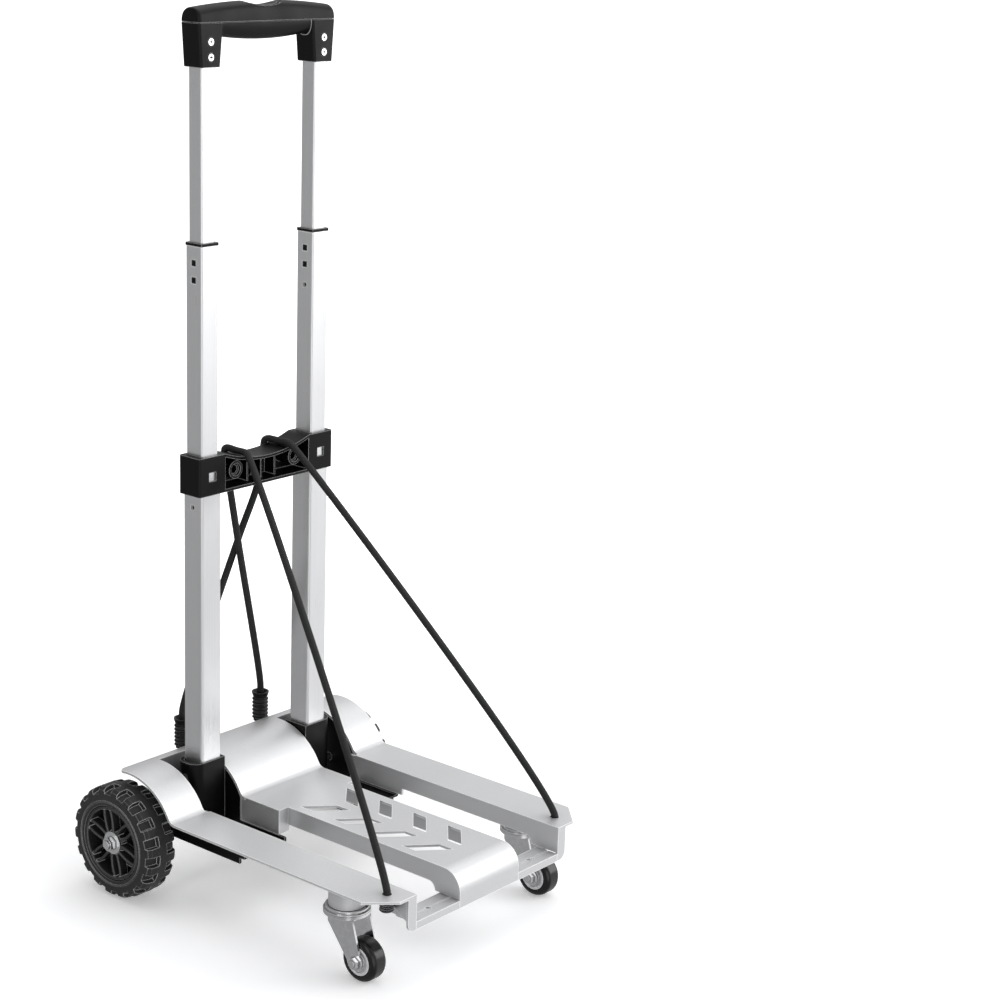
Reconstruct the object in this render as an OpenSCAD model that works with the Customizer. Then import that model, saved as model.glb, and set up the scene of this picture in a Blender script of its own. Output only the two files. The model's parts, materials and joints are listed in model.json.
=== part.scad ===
// Folding luggage cart: a pressed deck on two big rear wheels and two swivel casters, with a
// three-stage telescopic tower, a crossbar, a release handle and two elastic cords.
// Millimetres. X runs across the cart, the load side faces -Y, Z is up, the floor is Z = 0.
// The origin is on the floor under the middle of the overall box.

/* [Tower] */
// Distance between the centre lines of the two tube stacks
tube_pitch = 143; // [142:0.5:144]
// Height of the crossbar's top edge above the floor
crossbar_top = 423; // [420:1:428]
// Height of the middle tubes' top ends when pulled out
mid_top = 618; // [612:1:622]
// Height of the handle's leg ends when pulled out
handle_base = 777; // [775:1:785]

/* [Deck] */
// Overall width of the deck plate
deck_width = 292; // [288:1:296]
// Distance from the rear axle to the deck's front edge
deck_reach = 328; // [324:1:332]
// Height of the loading surface
deck_top = 87; // [86:0.5:88]
// Thickness of the pressed sheet
sheet = 2.5; // [2:0.1:2.8]

/* [Wheels] */
// Diameter of the big rear wheels
wheel_d = 110; // [108:1:111]
// Number of tread blocks around each shoulder of a rear tyre
tread_blocks = 18; // [14:1:20]
// Diameter of the caster wheels
caster_d = 40; // [38:1:41]

/* [Cords] */
// Diameter of the elastic cords
cord_d = 7; // [5:0.5:7.5]

/* [Hidden] */
$fn = 64;
silver = [0.78, 0.79, 0.80];
steel = [0.66, 0.67, 0.69];
black = [0.09, 0.09, 0.10];

wheel_r = wheel_d / 2;
caster_r = caster_d / 2;
axle_r = 4;
running_gap = 0.05;
rest_gap = 0.2;
origin_y = (deck_reach - wheel_r) / 2;
tube_x = tube_pitch / 2;
tower_y = -25;
pivot_z = 73.5;

outer_size = 25;
mid_size = 21;
inner_size = 17;
tube_wall = 1.5;
outer_bottom = 54;
mid_bottom = mid_top - 263;
inner_bottom = handle_base - 219;
snap_z = [mid_top - 15.4, mid_top - 31.2];
mid_lock_z = mid_bottom + 18.7;
inner_lock_z = inner_bottom + 9;

crossbar_half = 88;
crossbar_h = 37;
crossbar_bottom = crossbar_top - crossbar_h;
block_inner = 55;
crossbar_depth = 28;
sag = 10;
sag_r = (block_inner * block_inner + sag * sag) / (2 * sag);
guide_hole_x = 39;
guide_hole_z = crossbar_bottom + 18.5;

fender_y = -4;
fender_z = wheel_r + 3;
fender_r = wheel_r + 9;
bend_r = 8;
bend_z = deck_top + bend_r;
bend_y = fender_y - sqrt(pow(fender_r + bend_r, 2) - pow(bend_z - fender_z, 2));
bend_angle = atan2(bend_z - fender_z, bend_y - fender_y);
lip_y = 14;
lip_angle = acos((lip_y - fender_y) / fender_r);
lip_corner_r = 12;
half_deck = deck_width / 2;
rail_x = 100;
tongue_x = 41.5;
neck_x = 53.5;
neck_y = -111;
slot_in = 54;
slot_out = 104;
slot_back = 1.5;
slot_flange_low = 92;
bracket_back = 12;
nose_r = 20;
nose_bottom = 53;
nose_y = -deck_reach + nose_r;
tie_top = 60.5;
wall_low = 69;
wall_front = 61;
wall_back = 62;
corner_cut = 24;
cord_hole_x = 118;
cord_hole_y = -deck_reach + 19.5;

caster_x = 123;
caster_y = -266;
caster_trail = 22;
fork_top = 61.8;
race_top = 66;

wheel_in = 131;
wheel_out = 167;
wheel_middle = (wheel_in + wheel_out) / 2;
hub_face = wheel_out - 4;
rim_r = 36;

handle_top = handle_base + 58.5;
handle_split = handle_base + 39;
handle_depth = 24;
screw_z = [handle_base + 9, handle_base + 22.5];
inner_top = handle_base + 27;
bar_z = handle_base + 37;
bar_h = 4;

cord_over_x = 28;
grip_x = 53;
grip_y = 23.2;
grip_bottom = 116.5;
grip_h = 29;

// ---- placing helpers ----

// Moves a shape drawn about the axle's middle into the cart's own frame.
module from_axle() translate([0, origin_y, 0]) children();

// A shape drawn on the +X side, put on the +X side (1) or mirrored to the -X side (-1).
module on_side(s) from_axle() mirror([s < 0 ? 1 : 0, 0, 0]) children();

module both_sides() {
    on_side(1) children();
    on_side(-1) children();
}

// Extrudes a (Y, Z) outline along X from x0 to x1.
module along_x(x0, x1) translate([x0, 0, 0]) rotate([90, 0, 90]) linear_extrude(x1 - x0) children();

// Extrudes an (X, Z) outline along Y from y0 to y1.
module along_y(y0, y1) translate([0, y1, 0]) rotate([90, 0, 0]) linear_extrude(y1 - y0) children();

module box(x0, x1, y0, y1, z0, z1) translate([x0, y0, z0]) cube([x1 - x0, y1 - y0, z1 - z0]);

module rod_x(x0, x1, y, z, r) translate([x0, y, z]) rotate([0, 90, 0]) cylinder(h = x1 - x0, r = r);

module rod_y(y0, y1, x, z, r) translate([x, y0, z]) rotate([-90, 0, 0]) cylinder(h = y1 - y0, r = r);

module rod_z(z0, z1, x, y, r) translate([x, y, z0]) cylinder(h = z1 - z0, r = r);

// A bar with the given number of flats from p to q.
module bar_between(p, q, r, flats) {
    d = q - p;
    translate(p) rotate([0, acos(d.z / norm(d)), atan2(d.y, d.x)]) cylinder(h = norm(d), r = r, $fn = flats);
}

// A plan square with rounded corners, centred on the origin.
module rounded_rect(w, d, r) {
    square([w - 2 * r, d], center = true);
    square([w, d - 2 * r], center = true);
    for (sx = [-1, 1], sy = [-1, 1]) translate([sx * (w / 2 - r), sy * (d / 2 - r)]) circle(r);
}

// Part of a ring between two angles, for bends that turn less than half a circle.
module ring_sector(r_in, r_out, a0, a1) {
    far = 2 * r_out;
    intersection() {
        difference() {
            circle(r_out);
            circle(r_in);
        }
        polygon([
            [0, 0], far * [cos(a0), sin(a0)],
            far * [cos((a0 + a1) / 2), sin((a0 + a1) / 2)], far * [cos(a1), sin(a1)]
        ]);
    }
}

module square_tube(size, wall, z0, z1, corner) {
    translate([tube_x, tower_y, z0]) linear_extrude(z1 - z0) difference() {
        rounded_rect(size, size, corner);
        rounded_rect(size - 2 * wall, size - 2 * wall, corner - wall / 2);
    }
}

// A square prism on the tube stack's axis.
module stack_prism(size, z0, z1) translate([tube_x - size / 2, tower_y - size / 2, z0]) cube([size, size, z1 - z0]);

// ---- tower ----

module outer_tube() {
    difference() {
        square_tube(outer_size, tube_wall, outer_bottom, crossbar_top - 3 - rest_gap, 2.5);
        rod_x(tube_x - 20, tube_x + 20, tower_y, pivot_z, axle_r + running_gap);
        rod_x(tube_x, tube_x + 20, tower_y, mid_lock_z, 2.6);
    }
}

module outer_tube_left() color(silver) on_side(-1) outer_tube();
module outer_tube_right() color(silver) on_side(1) outer_tube();

module socket() {
    x0 = 55.4;
    x1 = 94.3;
    z0 = 52;
    z1 = 123;
    y0 = tower_y - 14;
    difference() {
        translate([0, 0, z0]) linear_extrude(z1 - z0) {
            translate([x0, y0]) square([x1 - x0 - 12, 28]);
            translate([x1 - 14, y0 + 12]) square([14, 4]);
            for (y = [y0 + 12, y0 + 16]) translate([x1 - 12, y]) circle(12);
        }
        stack_prism(outer_size + 2 * running_gap, outer_bottom, z1 + 1);
        translate([0, 0, 80]) linear_extrude(z1 - 79) {
            translate([tube_x, tower_y - 9.6]) square([x1 - 12 - tube_x, 19.2]);
            translate([x1 - 12, tower_y]) circle(9.6);
        }
        rod_x(x0 - 1, x1 + 1, tower_y, pivot_z, axle_r + running_gap);
        rod_x(tube_x, x1 + 1, tower_y, z1 - 15, 3 + running_gap);
    }
}

module socket_left() color(black) on_side(-1) socket();
module socket_right() color(black) on_side(1) socket();

module latch_pins() color(steel) both_sides() rod_x(84.2, 99, tower_y, 108, 3);

module crossbar() color(black) from_axle() {
    web_back = tower_y + crossbar_depth / 2;
    front = tower_y - crossbar_depth / 2;
    arc_z = crossbar_top - sag + sag_r;
    difference() {
        union() {
            for (s = [-1, 1]) mirror([s < 0 ? 1 : 0, 0, 0]) translate([0, 0, crossbar_bottom])
                linear_extrude(crossbar_h) translate([(block_inner + crossbar_half) / 2, tower_y])
                    rounded_rect(crossbar_half - block_inner, crossbar_depth, 2.5);
            difference() {
                box(-block_inner - 3, block_inner + 3, front, web_back, crossbar_bottom, crossbar_top);
                rod_y(front - 1, web_back + 1, 0, arc_z, sag_r);
                difference() {
                    box(-block_inner, block_inner, front - 1, web_back - 6, crossbar_bottom + 3, crossbar_top);
                    rod_y(front - 2, web_back, 0, arc_z, sag_r + 3);
                    for (x = [-18, 0, 18]) box(x - 1, x + 1, front + 9, web_back, crossbar_bottom, crossbar_top);
                    for (s = [-1, 1]) rod_y(front + 3, web_back, s * guide_hole_x, guide_hole_z, 8.7);
                }
            }
        }
        for (s = [-1, 1]) {
            rod_y(front - 1, web_back + 1, s * guide_hole_x, guide_hole_z, 4);
            rod_y(front - 1, front + 6, s * guide_hole_x, guide_hole_z, 6);
            mirror([s < 0 ? 1 : 0, 0, 0]) {
                stack_prism(outer_size + 2 * running_gap, crossbar_bottom - 1, crossbar_top - 3);
                stack_prism(mid_size + 0.6, crossbar_top - 4, crossbar_top + 1);
                box(tube_x - 4.2, tube_x + 4.2, front - 1, tower_y - 12, guide_hole_z - 5, guide_hole_z + 3.4);
            }
        }
        box(-30, 30, web_back - 1.8, web_back + 1, crossbar_bottom + 6, crossbar_bottom + 24);
    }
}

module crossbar_panel() color(black) from_axle()
    box(-29.8, 29.8, tower_y + 12.25, tower_y + 13.6, crossbar_bottom + 6.2, crossbar_bottom + 23.8);

// Waypoints of one cord, drawn from the front corner on the +X side over the crossbar and down
// behind it to the hook grip on the other side; shift moves it back so that the two can cross.
function cord_path(shift) = [
    [cord_hole_x, cord_hole_y, deck_top - sheet - 3],
    [cord_hole_x, cord_hole_y, deck_top + 3.5],
    [cord_over_x + 1.5, tower_y - 20, crossbar_top - 8],
    [cord_over_x, tower_y - 15.4, crossbar_top - 2.6],
    [cord_over_x - 1, tower_y + 16, crossbar_top - 2.8],
    [cord_over_x - 3, tower_y + 20.2, crossbar_top - 10],
    [18, tower_y + 18.6, crossbar_bottom - 12],
    [4, tower_y + 22 + shift, 320],
    [-grip_x, grip_y, grip_bottom + grip_h + 1.5]
];

module cord(shift) {
    path = cord_path(shift);
    last = len(path) - 2;
    for (i = [0 : last]) {
        along = (path[i + 1] - path[i]) / norm(path[i + 1] - path[i]);
        start = path[i] - along * (i > 0 ? 1 : 0);
        bar_between(start, path[i + 1] + along * (i < last ? 1 : 0), cord_d / 2, 12);
    }
}

module cord_left() color(black) on_side(-1) cord(0);
module cord_right() color(black) on_side(1) cord(cord_d + 1);

// ---- deck ----

// Points along an arc, for outlines that are drawn as one polygon.
function arc(centre, r, a0, a1, steps) =
    [for (i = [0 : steps]) centre + r * [cos(a0 + (a1 - a0) * i / steps), sin(a0 + (a1 - a0) * i / steps)]];

// Outline in (Y, Z) of the sheet: flat loading surface, bend, and the arched fender over the wheels.
module sheet_profile() {
    crown = [fender_y, fender_z];
    bend = [bend_y, bend_z];
    polygon(concat(
        [[-deck_reach, deck_top - sheet], [-deck_reach, deck_top]],
        arc(bend, bend_r, 270, 180 + bend_angle, 6),
        arc(crown, fender_r, bend_angle - 2, lip_angle, 30),
        arc(crown, fender_r - sheet, lip_angle, bend_angle - 2, 30),
        arc(bend, bend_r + sheet, 180 + bend_angle, 270, 6)
    ));
}

module wall_profile(front_y, front_z, step) {
    translate([front_y, wall_low]) square([-front_y + bend_y, deck_top - wall_low]);
    translate([front_y, front_z]) square([step, wall_low - front_z]);
    translate([front_y + step, wall_low]) difference() {
        translate([0, -wall_low + front_z]) square(wall_low - front_z);
        translate([wall_low - front_z, front_z - wall_low]) circle(wall_low - front_z);
    }
}

module rail_wall() {
    low_back = -130;
    difference() {
        union() {
            along_x(rail_x, rail_x + sheet) {
                wall_profile(-deck_reach, wall_front, 32);
                translate([low_back, wall_back]) square([bend_y - low_back, wall_low - wall_back]);
            }
            along_y(-deck_reach, -deck_reach + sheet) translate([rail_x, 0]) {
                translate([0, nose_bottom + 8]) square([11, deck_top - nose_bottom - 8]);
                translate([0, nose_bottom]) square([3, 8]);
                translate([3, nose_bottom + 8]) circle(8);
            }
        }
        box(rail_x - 9, rail_x, -deck_reach - 1, 0, 0, deck_top + 1);
    }
}

// Triangular web behind the front flange, under the corner of the loading surface.
module corner_gusset() along_x(rail_x + 8.2, rail_x + 10.7) polygon([
    [-deck_reach, nose_bottom + 8.5], [-deck_reach, deck_top - 1], [-deck_reach + 39, deck_top - 1]
]);

module chevron(y) {
    inner = 6;
    outer = 32;
    drop = 23;
    tall = 16;
    translate([0, 0, deck_top - 2 * sheet]) linear_extrude(3 * sheet)
        polygon([[inner, y], [outer, y + drop], [outer, y + drop + tall], [inner, y + tall]]);
}

// The rounded nose of the middle tongue, its side walls and the wider neck behind it.
module tongue() {
    along_x(-tongue_x, tongue_x) {
        translate([nose_y - 0.5, deck_top - sheet]) square([2, sheet]);
        translate([nose_y, deck_top - nose_r]) ring_sector(nose_r - sheet, nose_r, 90, 180);
        translate([-deck_reach, nose_bottom]) square([sheet, deck_top - nose_r - nose_bottom]);
    }
    for (s = [-1, 1]) mirror([s < 0 ? 1 : 0, 0, 0]) {
        intersection() {
            along_x(tongue_x - sheet, tongue_x) wall_profile(-deck_reach, wall_front, 30);
            union() {
                box(0, 60, nose_y, neck_y + sheet, 0, deck_top);
                box(0, 60, -deck_reach, nose_y, 0, deck_top - nose_r);
                rod_x(0, 60, nose_y, deck_top - nose_r, nose_r);
            }
        }
        box(neck_x - sheet, neck_x, neck_y, bend_y, wall_back, deck_top);
        box(neck_x - sheet, neck_x, bend_y - 1, bend_y + 6.6, wall_back, deck_top - 1);
        box(tongue_x - sheet, neck_x, neck_y, neck_y + sheet, wall_back, deck_top);
    }
}

// The sheet with its channels, fender slots, cut corners and cord holes.
module deck_sheet() difference() {
    along_x(-half_deck, half_deck) sheet_profile();
    box(-rail_x, rail_x, -deck_reach - 1, nose_y, 0, 200);
    for (s = [-1, 1]) mirror([s < 0 ? 1 : 0, 0, 0]) {
        box(tongue_x, rail_x, nose_y - 1, neck_y, 0, 200);
        box(neck_x, rail_x, neck_y - 1, bend_y + 0.5, 0, 200);
        box(slot_in, slot_out, bend_y, slot_back, 0, 200);
        translate([half_deck - lip_corner_r, lip_y - lip_corner_r, 0]) difference() {
            cube([lip_corner_r + 1, lip_corner_r + 1, 400]);
            cylinder(h = 400, r = lip_corner_r + 0.3);
        }
        translate([half_deck, -deck_reach, 0]) rotate([0, 0, 45])
            cube([corner_cut * sqrt(2), corner_cut * sqrt(2), 400], center = true);
        rod_z(deck_top - 5, deck_top + 1, cord_hole_x, cord_hole_y, 4.5);
    }
}

module deck_plate() color(silver) from_axle() {
    difference() {
        deck_sheet();
        for (row = [0 : 3], s = [-1, 1])
            mirror([s < 0 ? 1 : 0, 0, 0]) chevron(-deck_reach + 40 + row * 43.5);
    }
    tongue();
    for (s = [-1, 1]) mirror([s < 0 ? 1 : 0, 0, 0]) {
        rail_wall();
        box(rail_x, rail_x + sheet, bend_y - 1, bend_y + 6.6, wall_back, deck_top - 1);
        corner_gusset();
        box(slot_in - 0.2, slot_out + 0.2, slot_back, slot_back + sheet, slot_flange_low, fender_z + fender_r - 1.8);
    }
}

module front_tie() color(silver) from_axle() {
    back = -deck_reach + 25;
    seam = -deck_reach + 11.6;
    difference() {
        union() {
            box(-rail_x, rail_x, -deck_reach, back, tie_top - sheet, tie_top);
            for (s = [-1, 1]) mirror([s < 0 ? 1 : 0, 0, 0])
                box(tongue_x + rest_gap, rail_x - rest_gap, -deck_reach, -deck_reach + sheet, nose_bottom, tie_top);
        }
        box(-tongue_x - rest_gap, tongue_x + rest_gap, -deck_reach - 1, -deck_reach + sheet + rest_gap, 0, 90);
        box(-rail_x - 1, rail_x + 1, seam - 0.5, seam + 0.5, tie_top - 0.8, tie_top + 1);
        for (s = [-1, 1]) rod_z(50, 70, s * tube_x, seam, 2.5 + running_gap);
    }
}

module tie_rivets() color(steel) both_sides() {
    seam = -deck_reach + 11.6;
    rod_z(tie_top - sheet - 1, tie_top - 0.8, tube_x, seam, 2.5);
    rod_z(tie_top - sheet - 2.2, tie_top - sheet - 0.01, tube_x, seam, 3.5);
}

module hinge_bracket() {
    x0 = slot_in - 0.3;
    x1 = slot_out + 0.3;
    front = -119;
    low = 50;
    difference() {
        union() {
            for (x = [x0 - sheet, x1]) along_x(x, x + sheet) {
                translate([front + 6, low]) square([bracket_back - front - 6, wall_back - low - rest_gap]);
                translate([front, low + 6]) square([8, wall_back - low - 6 - rest_gap]);
                intersection() {
                    translate([fender_y, fender_z]) circle(fender_r - sheet - rest_gap);
                    union() {
                        translate([bend_y + 7, low]) square([bracket_back - bend_y - 7, 50]);
                        translate([bend_y + 7, low]) square([slot_back - bend_y - 7, 90]);
                    }
                }
            }
            difference() {
                box(x0 - 1, x1 + 1, front, -62, 56, 58);
                translate([tube_x + 5, 0, 50]) {
                    rod_z(0, 20, 0, -100, 9);
                    rod_z(0, 20, 0, -84, 9);
                    box(-9, 9, -100, -84, 0, 20);
                }
            }
        }
        rod_x(x0 - 5, x1 + 5, 0, wheel_r, axle_r + running_gap);
        rod_x(x0 - 5, x1 + 5, tower_y, pivot_z, axle_r + running_gap);
    }
}

module hinge_bracket_left() color(black) on_side(-1) hinge_bracket();
module hinge_bracket_right() color(black) on_side(1) hinge_bracket();

module pivot_pins() color(steel) both_sides() {
    x0 = slot_in - 0.3 - sheet;
    x1 = slot_out + 0.3 + sheet;
    rod_x(x0 - 1.8, x1 + 1.8, tower_y, pivot_z, axle_r);
    rod_x(x0 - 2, x0 - 0.1, tower_y, pivot_z, 6);
    rod_x(x1 + 0.1, x1 + 2, tower_y, pivot_z, 6);
}

module axle() color(steel) from_axle() rod_x(-hub_face - 9.5, hub_face + 9.5, 0, wheel_r, axle_r);

module axle_spacers() color(steel) both_sides() difference() {
    rod_x(slot_out + sheet + 0.4, wheel_in - rest_gap, 0, wheel_r, 6.5);
    rod_x(slot_out, wheel_in, 0, wheel_r, axle_r + running_gap);
}

module axle_washers() color(steel) both_sides() difference() {
    rod_x(hub_face + 0.2, hub_face + 1.8, 0, wheel_r, 11);
    rod_x(hub_face, hub_face + 3, 0, wheel_r, axle_r + running_gap);
}

module axle_nuts() color(steel) both_sides() difference() {
    translate([hub_face + 1.9, 0, wheel_r]) rotate([0, 90, 0]) cylinder(h = 6, r = 6.6, $fn = 6);
    rod_x(hub_face + 1, hub_face + 9, 0, wheel_r, axle_r + running_gap);
}

// ---- rear wheels ----

module tyre() {
    width = wheel_out - wheel_in;
    groove = 0.42 * 360 / tread_blocks * PI / 180 * wheel_r;
    translate([wheel_middle, 0, wheel_r]) rotate([0, 90, 0]) difference() {
        rotate_extrude() polygon([
            [rim_r, -width / 2 + 3], [rim_r + 2, -width / 2], [wheel_r - 7, -width / 2],
            [wheel_r - 1.5, -width / 2 + 2.5], [wheel_r, -width / 2 + 6], [wheel_r, width / 2 - 6],
            [wheel_r - 1.5, width / 2 - 2.5], [wheel_r - 7, width / 2], [rim_r + 2, width / 2],
            [rim_r, width / 2 - 3]
        ]);
        for (i = [0 : tread_blocks - 1]) {
            rotate([0, 0, i * 360 / tread_blocks]) translate([wheel_r - 4.5, -groove / 2, 4])
                cube([10, groove, width]);
            rotate([0, 0, (i + 0.5) * 360 / tread_blocks]) translate([wheel_r - 4.5, -groove / 2, -4 - width])
                cube([10, groove, width]);
        }
    }
}

module tyre_left() color(black) on_side(-1) tyre();
module tyre_right() color(black) on_side(1) tyre();

// Outline in (radius, width) of the rim ring, its web and its hub, turned about the axle.
module rim_profile() {
    bore = axle_r + running_gap;
    hub = 12;
    hub_back = wheel_in - wheel_middle;
    hub_front = hub_face - wheel_middle;
    polygon([
        [bore, hub_back], [hub, hub_back], [hub, 0], [rim_r - 3, 0], [rim_r - 3, -15], [rim_r - 0.1, -15],
        [rim_r - 0.1, 15], [rim_r - 3, 15], [rim_r - 3, 2.5], [hub, 2.5], [hub, hub_front], [bore, hub_front]
    ]);
}

module rim() translate([wheel_middle, 0, wheel_r]) rotate([0, 90, 0]) {
    rotate_extrude() rim_profile();
    for (i = [0 : 5], s = [-1, 1]) rotate([0, 0, i * 60]) translate([7, s * 4 - 1.4, 1])
        cube([rim_r - 9, 2.8, 9]);
}

module rim_left() color(black) on_side(-1) rim();
module rim_right() color(black) on_side(1) rim();

// ---- casters ----

module caster_boss() difference() {
    rod_z(race_top + rest_gap, deck_top - sheet - 0.01, caster_x, caster_y, 17);
    rod_z(60, 90, caster_x, caster_y, axle_r + running_gap);
}

module caster_boss_left() color(silver) on_side(-1) caster_boss();
module caster_boss_right() color(silver) on_side(1) caster_boss();

module kingpins() color(steel) both_sides() {
    rod_z(54, deck_top - sheet - 1, caster_x, caster_y, axle_r);
    rod_z(54, 56, caster_x, caster_y, 7);
}

module caster_race() difference() {
    union() {
        rod_z(fork_top + 1.6, race_top, caster_x, caster_y, 20);
        rod_z(fork_top + rest_gap, fork_top + 1.7, caster_x, caster_y, 21.5);
    }
    rod_z(55, 70, caster_x, caster_y, axle_r + running_gap);
}

module caster_race_left() color(steel) on_side(-1) caster_race();
module caster_race_right() color(steel) on_side(1) caster_race();

// One leg of the fork in (Y, Z).
module fork_leg() {
    axle_at = caster_y - caster_trail;
    polygon([
        [caster_y - 17, fork_top - 2], [caster_y + 12, fork_top - 2], [caster_y + 12, 50],
        [axle_at + 6.6, caster_r - 4.5], [axle_at - 7.5, caster_r - 2.8]
    ]);
    translate([axle_at, caster_r]) circle(8);
}

module caster_fork() difference() {
    union() {
        rod_z(fork_top - 2.5, fork_top, caster_x, caster_y, 21.5);
        for (x = [caster_x - 12.2, caster_x + 10.2]) along_x(x, x + 2) fork_leg();
        box(caster_x - 12.2, caster_x + 12.2, caster_y - 17, caster_y + 12, fork_top - 4.5, fork_top - 2);
    }
    rod_z(50, 70, caster_x, caster_y, axle_r + running_gap);
    rod_x(caster_x - 20, caster_x + 20, caster_y - caster_trail, caster_r, 3 + running_gap);
}

module caster_fork_left() color(steel) on_side(-1) caster_fork();
module caster_fork_right() color(steel) on_side(1) caster_fork();

module caster_bolt(s) color(steel) from_axle() translate([s * caster_x, caster_y - caster_trail, caster_r])
    rotate([0, 90, 0]) {
        translate([0, 0, -17]) cylinder(h = 29.3, r = 3);
        translate([0, 0, 12.3]) cylinder(h = 3.5, r = 5.5, $fn = 6);
        difference() {
            translate([0, 0, -16.2]) cylinder(h = 4, r = 5.5, $fn = 6);
            cylinder(h = 40, r = 3 + running_gap, center = true);
        }
    }

module caster_bolt_left() caster_bolt(-1);
module caster_bolt_right() caster_bolt(1);

module caster_hub() translate([caster_x, caster_y - caster_trail, caster_r]) rotate([0, 90, 0]) difference() {
    union() {
        cylinder(h = 18, r = 13.2, center = true);
        cylinder(h = 20, r = 5.5, center = true);
    }
    for (z = [-9.1, 6.6]) translate([0, 0, z]) difference() {
        cylinder(h = 2.5, r = 11);
        cylinder(h = 2.5, r = 5.5);
    }
    cylinder(h = 30, r = 3 + running_gap, center = true);
}

module caster_hub_left() color(steel) on_side(-1) caster_hub();
module caster_hub_right() color(steel) on_side(1) caster_hub();

module caster_tyre() translate([caster_x, caster_y - caster_trail, caster_r]) rotate([0, 90, 0]) rotate_extrude() {
    edge = 5;
    half = 9.2;
    difference() {
        translate([13.3, -half]) square([caster_r - 13.3, 2 * half]);
        for (s = [-1, 1]) translate([caster_r - edge, s * (half - edge)]) difference() {
            translate([0, s > 0 ? 0 : -edge]) square(edge);
            circle(edge);
        }
    }
}

module caster_tyre_left() color(black) on_side(-1) caster_tyre();
module caster_tyre_right() color(black) on_side(1) caster_tyre();

// ---- cord ends ----

module cord_plugs() color(black) both_sides() difference() {
    union() {
        rod_z(71, deck_top - sheet - 0.3, cord_hole_x, cord_hole_y, 5.8);
        for (z = [72, 76]) rod_z(z, z + 2, cord_hole_x, cord_hole_y, 6.6);
    }
    rod_z(deck_top - sheet - 7, deck_top, cord_hole_x, cord_hole_y, cord_d / 2 + 1.5);
}

module cord_grip() translate([grip_x, grip_y, grip_bottom]) {
    rotate_extrude() {
        square([7.6, grip_h]);
        for (i = [0 : 5]) translate([0, 2 + i * 4.2]) square([8.8, 2.4]);
    }
}

module cord_grip_left() color(black) on_side(-1) cord_grip();
module cord_grip_right() color(black) on_side(1) cord_grip();

module cord_hooks() color(black) both_sides() along_x(grip_x - 4, grip_x + 4) {
    translate([lip_y - 8, grip_bottom - 3.8]) square([grip_y - lip_y + 14, 3.6]);
    translate([lip_y - 8, grip_bottom - 1]) square([3, 2]);
}

// ---- telescopic stages ----

module mid_tube() difference() {
    square_tube(mid_size, tube_wall, mid_bottom, mid_top, 2);
    for (z = snap_z) box(tube_x - 20, tube_x + 20, tower_y - 3.1, tower_y + 3.1, z - 3.1, z + 3.1);
    rod_x(tube_x - 20, tube_x, tower_y, inner_lock_z, 2.6);
    rod_x(tube_x, tube_x + 20, tower_y, mid_lock_z, 2.6);
}

module mid_tube_left() color(silver) on_side(-1) mid_tube();
module mid_tube_right() color(silver) on_side(1) mid_tube();

// Bushing at the top of a middle tube; its thin side strips end in tabs that snap into the square holes.
module mid_collar() {
    difference() {
        stack_prism(mid_size + 0.2, mid_top + 0.01, mid_top + 3);
        stack_prism(inner_size + 0.4, mid_top - 1, mid_top + 4);
    }
    for (s = [-1, 1]) translate([tube_x, 0, 0]) mirror([s < 0 ? 1 : 0, 0, 0]) {
        box(8.6, 8.9, tower_y - 2.6, tower_y + 2.6, snap_z[1] - 2.9, mid_top + 1);
        for (z = snap_z) box(8.6, mid_size / 2 - 0.3, tower_y - 2.9, tower_y + 2.9, z - 2.9, z + 2.9);
    }
}

module mid_collar_left() color(black) on_side(-1) mid_collar();
module mid_collar_right() color(black) on_side(1) mid_collar();

module foot(size, below, z0, z1, lock_z, side) difference() {
    union() {
        translate([tube_x, tower_y, z0 + 4]) linear_extrude(z1 - z0 - 4) rounded_rect(size, size, 1.4);
        stack_prism(below, z0, z0 + 4 - rest_gap);
        stack_prism(size - 2, z0, z1);
    }
    rod_x(side > 0 ? tube_x - 2 : tube_x - 20, side > 0 ? tube_x + 20 : tube_x + 2, tower_y, lock_z, 2.4 + running_gap);
}

module mid_feet() color(black) both_sides()
    foot(mid_size - 2 * tube_wall - 0.3, mid_size - 0.4, mid_bottom - 4, mid_bottom + 40, mid_lock_z, 1);

module inner_tube() difference() {
    square_tube(inner_size, 1.3, inner_bottom, inner_top, 1.8);
    rod_x(tube_x - 20, tube_x, tower_y, inner_lock_z, 2.6);
    for (z = screw_z) rod_y(tower_y - 20, tower_y, tube_x, z, 1.7);
}

module inner_tube_left() color(silver) on_side(-1) inner_tube();
module inner_tube_right() color(silver) on_side(1) inner_tube();

module inner_feet() color(black) both_sides()
    foot(inner_size - 2.9, inner_size - 0.4, inner_bottom - 4, inner_bottom + 34, inner_lock_z, -1);

module mid_lock() rod_x(tube_x + 0.5, tube_x + mid_size / 2, tower_y, mid_lock_z, 2.4);
module mid_lock_left() color(black) on_side(-1) mid_lock();
module mid_lock_right() color(black) on_side(1) mid_lock();

module inner_lock() rod_x(tube_x - inner_size / 2, tube_x - 0.5, tower_y, inner_lock_z, 2.4);
module inner_lock_left() color(black) on_side(-1) inner_lock();
module inner_lock_right() color(black) on_side(1) inner_lock();

// ---- handle ----

// Outline in (X, Z) of the whole handle.
module handle_outline() difference() {
    intersection() {
        union() {
            polygon([
                [-83.5, handle_base], [83.5, handle_base], [86.3, handle_split - 1],
                [86.3, handle_split + 7], [80.3, handle_split + 13], [72, handle_top], [-72, handle_top],
                [-80.3, handle_split + 13], [-86.3, handle_split + 7], [-86.3, handle_split - 1]
            ]);
            for (s = [-1, 1]) translate([s * 80.3, handle_split + 7]) circle(6);
        }
        translate([0, handle_top - 560]) circle(560, $fn = 200);
    }
    difference() {
        translate([-58.5, handle_base - 1]) square([117, 32]);
        translate([0, handle_base + 25 + 300]) circle(300, $fn = 200);
    }
}

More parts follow.
